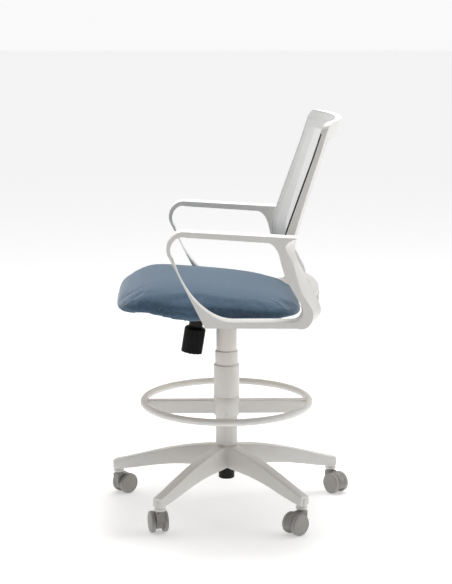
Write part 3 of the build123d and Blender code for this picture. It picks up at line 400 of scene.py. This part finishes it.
def blended(points, at):
    """Smooth curve through (position, value) points."""
    if at <= points[0][0]:
        return points[0][1]
    if at >= points[-1][0]:
        return points[-1][1]
    k = max(i for i in range(len(points) - 1) if points[i][0] <= at)
    (x0, y0), (x1, y1) = points[k], points[k + 1]
    before = points[max(k - 1, 0)]
    after = points[min(k + 2, len(points) - 1)]
    slope0 = (y1 - before[1]) / (x1 - before[0])
    slope1 = (after[1] - y0) / (after[0] - x0)
    t = (at - x0) / (x1 - x0)
    run = x1 - x0
    return (
        (2 * t**3 - 3 * t**2 + 1) * y0
        + (t**3 - 2 * t**2 + t) * run * slope0
        + (-2 * t**3 + 3 * t**2) * y1
        + (t**3 - t**2) * run * slope1
    )


# ------------------------------------------------------------------ seat cushion
SEAT_HALF = 0.2385
SEAT_MIDDLE = -0.060
SEAT_NOSE = -0.2805
SEAT_REAR = 0.188
SEAT_CROWN = [
    (-0.2825, 0.592), (-0.262, 0.5985), (-0.240, 0.605), (-0.217, 0.6115), (-0.184, 0.6155),
    (-0.145, 0.6145), (-0.068, 0.6085), (0.009, 0.600), (0.086, 0.5885), (0.140, 0.577), (0.188, 0.566),
]
SEAT_HEM = [
    (-0.2825, 0.555), (-0.262, 0.5535), (-0.236, 0.5545), (-0.204, 0.557), (-0.170, 0.5505), (-0.143, 0.5445),
    (-0.110, 0.539),
    (-0.060, 0.539), (-0.035, 0.5405), (0.188, 0.5405),
]
BOARD_TOP = [(-0.240, 0.5735), (-0.205, 0.572), (-0.110, 0.5525), (0.188, 0.5525)]
SEAT_LOOP = 160        # points round the cushion
OUTLINE_DENSE = 2880
FRONT_SQUARENESS = 4.6
REAR_SQUARENESS = 4.4
RECESS_NOSE = 0.028    # the recess for the board ends this far further behind the nose
CROWN_POWER = 2.3
CROWN_REACH = 0.19     # inset at which the crown reaches its full height
VOXEL = 0.0055
SWELL_FRAMES = 16
SWELL_PRESSURE = 3.0
SWELL_MOST = 0.004
HELD_SHARE = 0.16      # the cover is held over this share of its height
FOLD_TOP = 0.75        # folds reach up to this share of the height
FOLD_DEPTH = 0.0012
PIPING_HEIGHT = 0.09   # stitched line near the hem, as a share of the height
PIPING_WIDTH = 0.045


def seat_outline(inset, nose_depth=0.0):
    """Evenly spaced points round the cushion's plan, drawn in by inset and at the nose by nose_depth more."""
    dense = []
    for k in range(OUTLINE_DENSE):
        angle = 2 * math.pi * k / OUTLINE_DENSE
        c, s = math.cos(angle), math.sin(angle)
        power = 2 / (FRONT_SQUARENESS if s < 0 else REAR_SQUARENESS)
        reach = (SEAT_MIDDLE - SEAT_NOSE - nose_depth if s < 0 else SEAT_REAR - SEAT_MIDDLE) - inset
        x = (SEAT_HALF - inset) * math.copysign(abs(c) ** power, c)
        y = SEAT_MIDDLE + reach * math.copysign(abs(s) ** power, s)
        dense.append(Vector((x, y, 0)))
    steps = [(dense[(k + 1) % OUTLINE_DENSE] - dense[k]).length for k in range(OUTLINE_DENSE)]
    pitch = sum(steps) / SEAT_LOOP
    points, walked, k = [], 0.0, 0
    for n in range(SEAT_LOOP):
        while walked + steps[k] < n * pitch:
            walked += steps[k]
            k += 1
        share = (n * pitch - walked) / steps[k]
        points.append(dense[k].lerp(dense[(k + 1) % OUTLINE_DENSE], share))
    return points


def cushion_shape():
    """Loops from the middle of the underside, round the side and over the crown."""
    loops = []
    for inset in (0.225, 0.13, 0.05, 0.018, 0.0125):
        loops.append([(p, None, 0.0) for p in seat_outline(inset, RECESS_NOSE)])
    for inset, share in ((0.0115, 0.04), (0.007, 0.0), (0.002, 0.05), (0.0, 0.14), (0.0, 0.26), (0.0, 0.38)):
        loops.append([(p, share, 0.0) for p in seat_outline(inset)])
    for inset in (0.001, 0.004, 0.009, 0.016, 0.026, 0.040, 0.060, 0.085, 0.115, 0.150, 0.190, 0.225):
        spread = min(inset / CROWN_REACH, 1.0)
        swell = (1 - (1 - spread) ** CROWN_POWER) ** (1 / CROWN_POWER)
        loops.append([(p, 0.40, swell) for p in seat_outline(inset)])
    vertices = []
    for loop in loops:
        for point, share, swell in loop:
            low, top = blended(SEAT_HEM, point.y), blended(SEAT_CROWN, point.y)
            side = blended(BOARD_TOP, point.y) if share is None else low + (top - low) * share
            vertices.append((point.x, point.y, side + (top - side) * swell if swell else side))
    return vertices, closed_faces(len(loops))


def closed_faces(loop_count):
    """Bands of faces between loops of SEAT_LOOP points, closed by a face at each end."""
    faces = []
    for ring in range(loop_count - 1):
        for k in range(SEAT_LOOP):
            a, b = ring * SEAT_LOOP + k, ring * SEAT_LOOP + (k + 1) % SEAT_LOOP
            faces.append((a, b, b + SEAT_LOOP, a + SEAT_LOOP))
    faces.append(tuple(reversed(range(SEAT_LOOP))))
    faces.append(tuple(range((loop_count - 1) * SEAT_LOOP, loop_count * SEAT_LOOP)))
    return faces


BOARD_THICKNESS = 0.012
BOARD_INSET = 0.0145
BOARD_NOSE_DEPTH = 0.026
BOARD_CHAMFER = 0.0008
BOARD_GAP = 0.0005     # between the board and the recess above it


def make_board():
    """Moulded ply board under the cushion, round at all four corners."""
    loops = []
    insets = (0.20, 0.15, 0.10, 0.06, 0.03, BOARD_INSET + BOARD_CHAMFER)
    for inset in insets:
        loops.append((inset, -BOARD_THICKNESS))
    loops.append((BOARD_INSET, BOARD_CHAMFER - BOARD_THICKNESS))
    loops.append((BOARD_INSET, -BOARD_CHAMFER))
    for inset in reversed(insets):
        loops.append((inset, 0.0))
    vertices = []
    for inset, rise in loops:
        for point in seat_outline(inset, BOARD_NOSE_DEPTH):
            vertices.append((point.x, point.y, blended(BOARD_TOP, point.y) - BOARD_GAP + rise))
    piece = new_piece("ply_board", vertices, closed_faces(len(loops)), "plywood", "seat")
    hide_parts("seat_board")


def apply_modifiers(piece):
    """Freezes what the modifiers make of the mesh."""
    graph = bpy.context.evaluated_depsgraph_get()
    made = bpy.data.meshes.new_from_object(piece.evaluated_get(graph))
    piece.modifiers.clear()
    old = piece.data
    piece.data = made
    bpy.data.meshes.remove(old)


def smooth(piece):
    piece.data.polygons.foreach_set("use_smooth", [True] * len(piece.data.polygons))


def inflate(piece, frames, pressure, most):
    """Cloth simulation of a closed cover over its filling, held round its lower edge."""
    start = [v.co.copy() for v in piece.data.vertices]
    held = piece.vertex_groups.new(name="held")
    for vertex in piece.data.vertices:
        low = blended(SEAT_HEM, vertex.co.y)
        share = (vertex.co.z - low) / (blended(SEAT_CROWN, vertex.co.y) - low)
        held.add([vertex.index], min(max(1.0 - share / HELD_SHARE, 0.0), 1.0), "REPLACE")
    cloth = piece.modifiers.new("cloth", "CLOTH")
    setup = cloth.settings
    setup.quality = 6
    setup.mass = 0.25
    setup.tension_stiffness = setup.compression_stiffness = 22
    setup.shear_stiffness = 12
    setup.bending_stiffness = 1.6
    setup.use_pressure = True
    setup.uniform_pressure_force = pressure
    setup.vertex_group_mass = "held"
    setup.effector_weights.gravity = 0
    cloth.collision_settings.use_collision = False
    scene = bpy.context.scene
    for frame_number in range(1, frames + 1):
        scene.frame_set(frame_number)
    apply_modifiers(piece)
    scene.frame_set(1)
    for vertex, origin in zip(piece.data.vertices, start):
        step = vertex.co - origin
        if step.length > most:
            vertex.co = origin + step.normalized() * most
    piece.vertex_groups.clear()


def make_cushion():
    """Upholstered seat: swelled cover, gathers that run down the sides and a stitched line near the hem."""
    vertices, faces = cushion_shape()
    piece = new_piece("seat_cover", vertices, faces, "seat_fabric", "seat")
    remesh = piece.modifiers.new("remesh", "REMESH")
    remesh.mode = "VOXEL"
    remesh.voxel_size = VOXEL
    apply_modifiers(piece)
    inflate(piece, SWELL_FRAMES, SWELL_PRESSURE, SWELL_MOST)
    sub = piece.modifiers.new("sub", "SUBSURF")
    sub.levels = sub.render_levels = 1
    apply_modifiers(piece)
    for vertex in piece.data.vertices:
        low, top = blended(SEAT_HEM, vertex.co.y), blended(SEAT_CROWN, vertex.co.y)
        share = (vertex.co.z - low) / (top - low)
        rim = abs(vertex.co.x) / SEAT_HALF
        if share < FOLD_TOP and (rim > 0.8 or vertex.co.y < -0.24):
            run = Vector((vertex.co.x * 0.4, vertex.co.y, 0.0)) * 26.0
            fold = noise.noise(run + Vector((3.1, 0, vertex.co.z * 6.0)))
            fold += 0.5 * noise.noise(run * 2.6 + Vector((0, 7.7, vertex.co.z * 9.0)))
            fade = min(1.0, max(0.0, (FOLD_TOP - share) / 0.35)) * min(1.0, max(0.0, share / 0.1))
            outward = Vector((vertex.co.x, (vertex.co.y - SEAT_MIDDLE) * 0.2, 0)).normalized()
            vertex.co += outward * fold * fade * FOLD_DEPTH
        if rim > 0.8:
            groove = FOLD_DEPTH * math.exp(-(((share - PIPING_HEIGHT) / PIPING_WIDTH) ** 2))
            vertex.co.x -= math.copysign(groove, vertex.co.x)
    smooth(piece)
    set_material(piece, "seat_fabric")
    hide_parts("seat_cushion")
    return piece


# ------------------------------------------------------------------ back mesh
SHEET_CORNER = 0.0215
SHEET_COLUMNS = 112
SHEET_ROWS = 100       # between the corners
SHEET_CORNER_ROWS = 7
SHEET_EDGE = 0.0004    # the sheet ends this far inside the CAD mesh's side
SHEET_END = 0.0003
SHEET_LIFT = 0.0008    # behind the CAD mesh's front face
SHEET_TURN = 0.0012    # turned-in side edge
PROBE_INSET = 0.002


def corner_reach(z, low, high, half_width):
    """Half the sheet's width at a height, narrower beside its round corners."""
    near_end = max(0.0, SHEET_CORNER - min(z - low.z, high.z - z))
    return half_width - SHEET_CORNER + math.sqrt(max(SHEET_CORNER**2 - near_end**2, 0.0))


def sheet_heights(low, high):
    """Heights of the sheet's rows, closer together at its round corners."""
    heights = []
    for k in range(SHEET_CORNER_ROWS):
        rise = SHEET_CORNER * (1 - math.cos(math.pi / 2 * k / SHEET_CORNER_ROWS))
        heights.append(low.z + rise + SHEET_END)
    for k in range(SHEET_ROWS + 1):
        heights.append(low.z + SHEET_CORNER + (high.z - low.z - 2 * SHEET_CORNER) * k / SHEET_ROWS)
    for k in range(SHEET_CORNER_ROWS - 1, -1, -1):
        rise = SHEET_CORNER * (1 - math.cos(math.pi / 2 * k / SHEET_CORNER_ROWS))
        heights.append(high.z - rise - SHEET_END)
    return heights


def make_back_sheet():
    """Knit stretched over the front of the back frame, its side edges turned in behind."""
    low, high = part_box("back_mesh")
    target = nodes["back_mesh"]
    half_width = high.x - SHEET_EDGE
    probe_half = half_width - PROBE_INSET
    heights = sheet_heights(low, high)
    vertices, faces = [], []
    for z in heights:
        half = corner_reach(z, low, high, half_width)
        z_probe = min(max(z, low.z + PROBE_INSET), high.z - PROBE_INSET)
        reach = corner_reach(z_probe, low, high, half_width) - PROBE_INSET
        row = []
        for k in range(SHEET_COLUMNS + 1):
            x = half * (2 * k / SHEET_COLUMNS - 1)
            probe = min(max(x, -probe_half), probe_half)
            probe = min(max(probe, -reach), reach)
            start = Vector((probe, low.y - 0.5, z_probe))
            hit, place, _normal, _face = target.ray_cast(start, Vector((0, 1, 0)))
            if not hit:
                raise RuntimeError("the back mesh was not met")
            row.append(Vector((x, place.y + SHEET_LIFT, z)))
        turn = Vector((0, SHEET_TURN, 0))
        vertices.append(row[0] + turn)
        vertices.extend(row)
        vertices.append(row[-1] + turn)
    wide = SHEET_COLUMNS + 3
    for r in range(len(heights) - 1):
        for k in range(wide - 1):
            a = r * wide + k
            faces.append((a, a + 1, a + 1 + wide, a + wide))
    piece = new_piece("back_sheet", [tuple(v) for v in vertices], faces, "mesh_fabric", "seat")
    smooth(piece)
    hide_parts("back_mesh")


# ------------------------------------------------------------------ tension spring
SPRING_AXIS = Vector((0.0, 0.156434, 0.987688))
SPRING_RADIUS = 0.011
SPRING_WIRE = 0.0015
SPRING_TURNS = 8
SPRING_CLOSED = 0.06   # share of the turns that lies flat at each end
COIL_STEPS = 32        # to each turn
WIRE_SIDES = 10


def make_spring():
    """Coil spring round the tension bolt, its ends closed."""
    points = [v.co for v in nodes["tension_spring"].data.vertices]
    centre = sum(points, Vector()) / len(points)
    along = [(point - centre).dot(SPRING_AXIS) for point in points]
    low, high = min(along), max(along)
    side = Vector((1, 0, 0))
    across = SPRING_AXIS.cross(side)
    steps, ring = SPRING_TURNS * COIL_STEPS, WIRE_SIDES
    line = []
    for k in range(steps + 1):
        turn = 2 * math.pi * SPRING_TURNS * k / steps
        rise = min(max((k / steps - SPRING_CLOSED) / (1 - 2 * SPRING_CLOSED), 0.0), 1.0)
        height = low + SPRING_WIRE + (high - low - 2 * SPRING_WIRE) * rise
        outward = side * math.cos(turn) + across * math.sin(turn)
        line.append((centre + SPRING_AXIS * height + outward * SPRING_RADIUS, outward))
    vertices, faces = [], []
    for place, outward in line:
        for n in range(ring):
            angle = 2 * math.pi * n / ring
            offset = outward * math.cos(angle) + SPRING_AXIS * math.sin(angle)
            vertices.append(place + offset * SPRING_WIRE)
    for k in range(steps):
        for n in range(ring):
            a, b = k * ring + n, k * ring + (n + 1) % ring
            faces.append((a, a + ring, b + ring, b))
    faces.append(tuple(range(ring)))
    faces.append(tuple(reversed(range(steps * ring, (steps + 1) * ring))))
    piece = new_piece("spring_coil", vertices, faces, "bearing_steel", "lift")
    smooth(piece)
    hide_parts("tension_spring")
    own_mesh(piece)


# ------------------------------------------------------------------ build
make_camera()
make_studio()
dress_cad_nodes()
casters = [f"caster_{k}" for k in range(1, 6)]
soften(["left_arm", "right_arm"], 0.0022, 3)
soften(["back_frame"], 0.0015, 2)
soften(["star_base"], 0.0012, 2)
soften(["lower_sleeve", "lower_cover", "middle_cover", "upper_cover", "foot_ring_bridge"], 0.0006, 2)
soften([c + end for c in casters for end in ("_hood", "_wheel_left", "_wheel_right")], 0.0008, 2)
soften(["tension_knob", "lever_paddle", "tilt_housing", "seat_plate", "stand_tube"], 0.0006, 2)
make_cushion()
make_board()
make_back_sheet()
make_spring()
